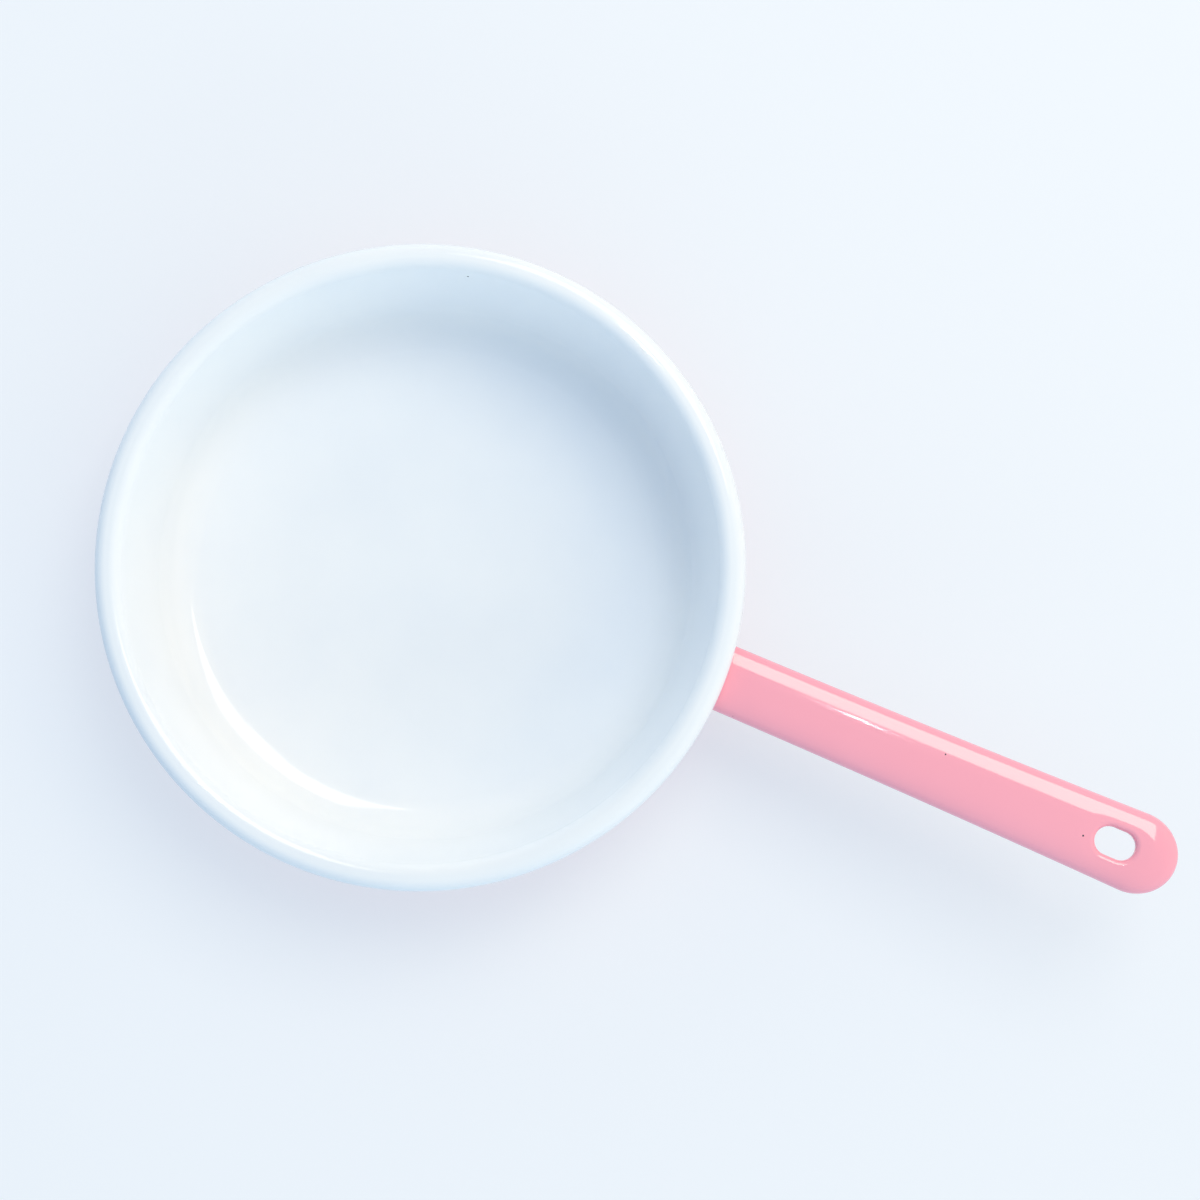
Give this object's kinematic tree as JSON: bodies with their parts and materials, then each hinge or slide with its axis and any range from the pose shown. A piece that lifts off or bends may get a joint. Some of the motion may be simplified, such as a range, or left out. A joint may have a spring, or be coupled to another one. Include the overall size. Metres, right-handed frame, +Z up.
{
  "type": "enamel frying pan",
  "caption": "Round enamelled steel frying pan with a rolled white rim, flared wall, flat base and a straight pink handle with a hanging slot.",
  "frame": {"origin": "centre of the base's underside, on the bowl's axis", "axes": "+Z up out of the bowl's mouth, +X along the handle, +Y to the left when looking along the handle from the bowl"},
  "size_m": [0.4156, 0.24, 0.0579],
  "materials": {
    "steel": "cold-rolled sheet, under the enamel",
    "white_enamel": "glossy vitreous enamel",
    "pink_enamel": "glossy vitreous enamel"
  },
  "bodies": {
    "root": {"bowl_pressing": "steel", "inside_enamel": "white_enamel", "outside_enamel": "pink_enamel", "base_enamel": "pink_enamel", "handle_pressing": "steel", "handle_enamel": "pink_enamel", "handle_weld_left": "pink_enamel", "handle_weld_right": "pink_enamel"}
  },
  "joints": []
}
